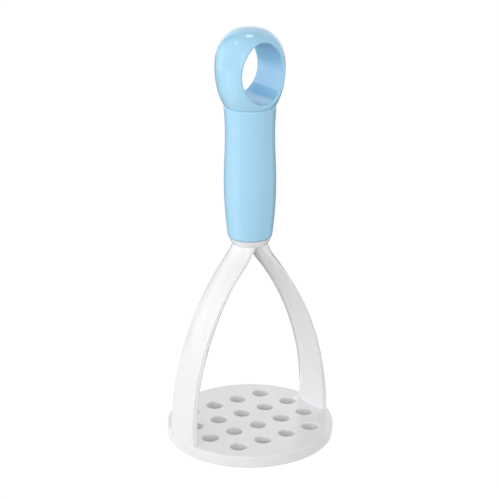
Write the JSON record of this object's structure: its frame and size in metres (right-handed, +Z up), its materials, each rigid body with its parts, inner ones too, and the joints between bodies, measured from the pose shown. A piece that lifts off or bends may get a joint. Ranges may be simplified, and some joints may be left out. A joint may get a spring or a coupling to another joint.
{
  "type": "potato masher",
  "caption": "Hand potato masher: a round perforated plate under an arched yoke, with a swelling grip that ends in a hanging ring.",
  "frame": {"origin": "centre of the plate's underside, where the tool rests on a worktop", "axes": "+Z up the handle, the arms stand in the XZ plane, the eye of the ring runs along Y"},
  "size_m": [0.08, 0.08, 0.1975],
  "materials": {
    "white_plastic": "satin gloss",
    "blue_plastic": "gloss",
    "steel": "zinc plated"
  },
  "bodies": {
    "root": {"mashing_plate": "white_plastic", "yoke": "white_plastic", "grip_sleeve": "blue_plastic", "ring_head": "blue_plastic", "tie_screw": "steel", "tie_washer": "steel"}
  },
  "joints": []
}
